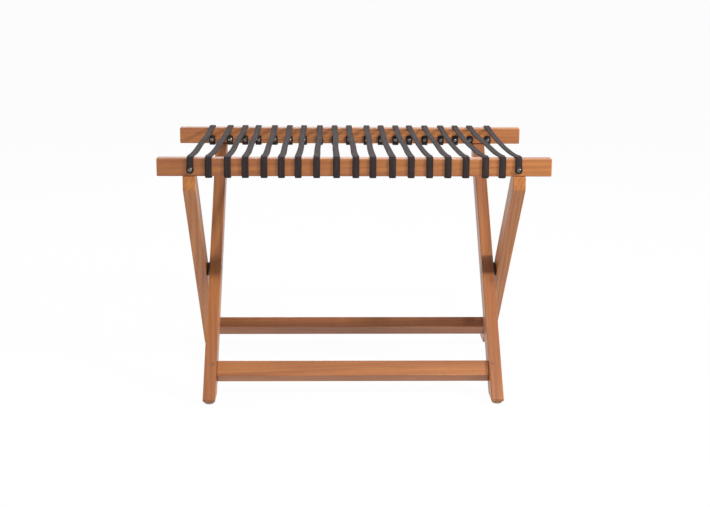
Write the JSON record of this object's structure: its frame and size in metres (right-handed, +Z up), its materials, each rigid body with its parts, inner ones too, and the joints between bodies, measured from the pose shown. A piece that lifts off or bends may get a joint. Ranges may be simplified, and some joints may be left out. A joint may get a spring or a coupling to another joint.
{
  "type": "folding luggage rack",
  "caption": "Folding hotel luggage rack: two crossed timber frames on a pivot, with dark leather strips wrapped round their rails as the seat.",
  "frame": {"origin": "on the floor, under the middle of the pivot line", "axes": "+X along the rails, to the right seen from the front; +Y from the front rail to the back rail; +Z up"},
  "size_m": [0.7, 0.4567, 0.4593],
  "materials": {
    "timber": "satin oiled hardwood",
    "peg": "end grain, oiled",
    "leather": "matte black",
    "steel": "bright",
    "plastic": "matte tan"
  },
  "bodies": {
    "outer_frame": {"front_rail": "timber", "outer_leg_left": "timber", "outer_leg_right": "timber", "back_stretcher": "timber", "back_stretcher_peg_left": "peg", "back_stretcher_peg_right": "peg", "outer_leg_glide_left": "plastic", "outer_leg_glide_right": "plastic", "pivot_bolt_left": "steel", "pivot_bolt_right": "steel", "pivot_washer_left": "plastic", "pivot_washer_right": "plastic", "strap_01": "leather", "strap_02": "leather", "strap_03": "leather", "strap_04": "leather", "strap_05": "leather", "strap_06": "leather", "strap_07": "leather", "strap_08": "leather", "strap_09": "leather", "strap_10": "leather", "strap_11": "leather", "strap_12": "leather", "strap_13": "leather", "strap_14": "leather", "strap_15": "leather", "strap_16": "leather", "strap_17": "leather", "strap_18": "leather", "strap_19": "leather", "front_screw_01": "steel", "front_screw_19": "steel"},
    "inner_frame": {"back_rail": "timber", "inner_leg_left": "timber", "inner_leg_right": "timber", "front_stretcher": "timber", "front_stretcher_peg_left": "peg", "front_stretcher_peg_right": "peg", "inner_leg_glide_left": "plastic", "inner_leg_glide_right": "plastic", "back_screw_01": "steel", "back_screw_02": "steel", "back_screw_03": "steel", "back_screw_04": "steel", "back_screw_05": "steel", "back_screw_06": "steel", "back_screw_07": "steel", "back_screw_08": "steel", "back_screw_09": "steel", "back_screw_10": "steel", "back_screw_11": "steel", "back_screw_12": "steel", "back_screw_13": "steel", "back_screw_14": "steel", "back_screw_15": "steel", "back_screw_16": "steel", "back_screw_17": "steel", "back_screw_18": "steel", "back_screw_19": "steel"}
  },
  "joints": [
    {"name": "fold", "type": "hinge", "parent": "outer_frame", "child": "inner_frame", "pos_m": [0, 0, 0.205], "axis": [1, 0, 0], "range_deg": [0, 74], "deforming": ["strap_01", "strap_02", "strap_03", "strap_04", "strap_05", "strap_06", "strap_07", "strap_08", "strap_09", "strap_10", "strap_11", "strap_12", "strap_13", "strap_14", "strap_15", "strap_16", "strap_17", "strap_18", "strap_19"]}
  ]
}
